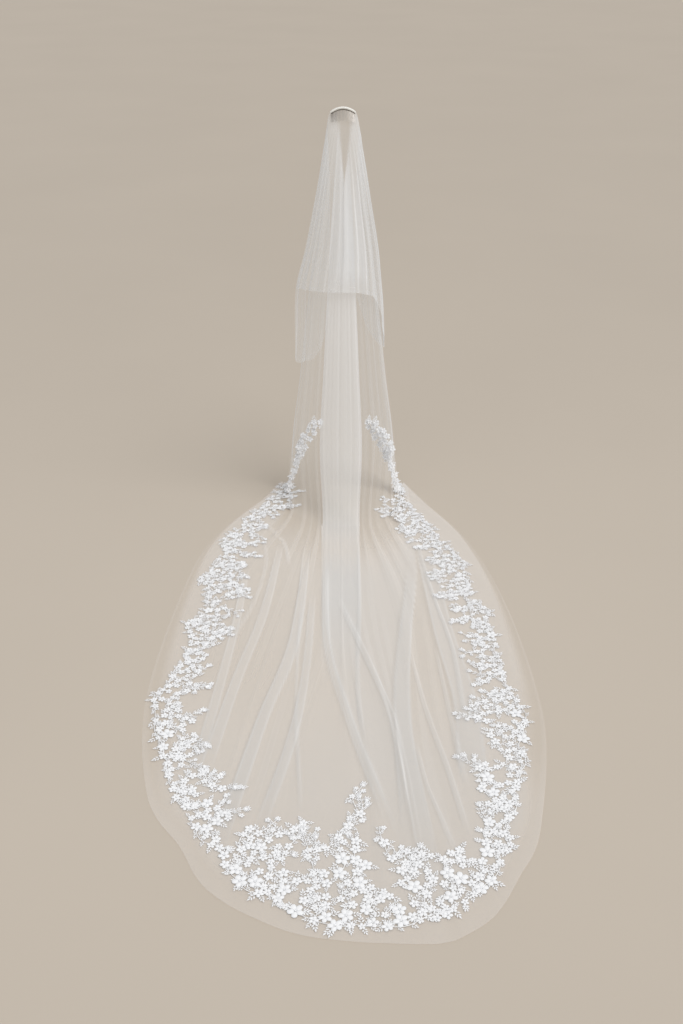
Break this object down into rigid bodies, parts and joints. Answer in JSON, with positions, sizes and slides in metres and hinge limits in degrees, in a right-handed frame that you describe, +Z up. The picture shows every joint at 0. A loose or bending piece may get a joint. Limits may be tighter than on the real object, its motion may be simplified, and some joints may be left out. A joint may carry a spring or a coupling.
{
  "type": "bridal veil",
  "caption": "Two-tier tulle bridal veil gathered on a hair comb, hanging in folds to the floor and spread in a long train with a floral lace border.",
  "frame": {"origin": "the middle of the comb, just under the top of its arch, where the wearer's hair holds the veil", "axes": "+Z up, +X to the viewer's right as the back of the veil is seen, the train runs out along -Y and the wearer faces +Y"},
  "size_m": [1.252, 2.45, 1.6118],
  "materials": {
    "tulle": "sheer soft net, light ivory white, matt with a faint sheen",
    "tulle_short": "sheer soft net in gathered layers, light ivory white",
    "lace": "matt off-white corded floral applique",
    "binding_thread": "soft satin thread wrapping",
    "comb_metal": "thin silver wire comb"
  },
  "bodies": {
    "root": {"long_tier_fall": "tulle", "long_tier_train": "tulle", "blusher": "tulle_short", "lace_left": "lace", "lace_front": "lace", "lace_right": "lace", "lace_end_left": "lace", "lace_end_right": "lace", "comb_binding": "binding_thread", "comb": "comb_metal"}
  },
  "joints": []
}
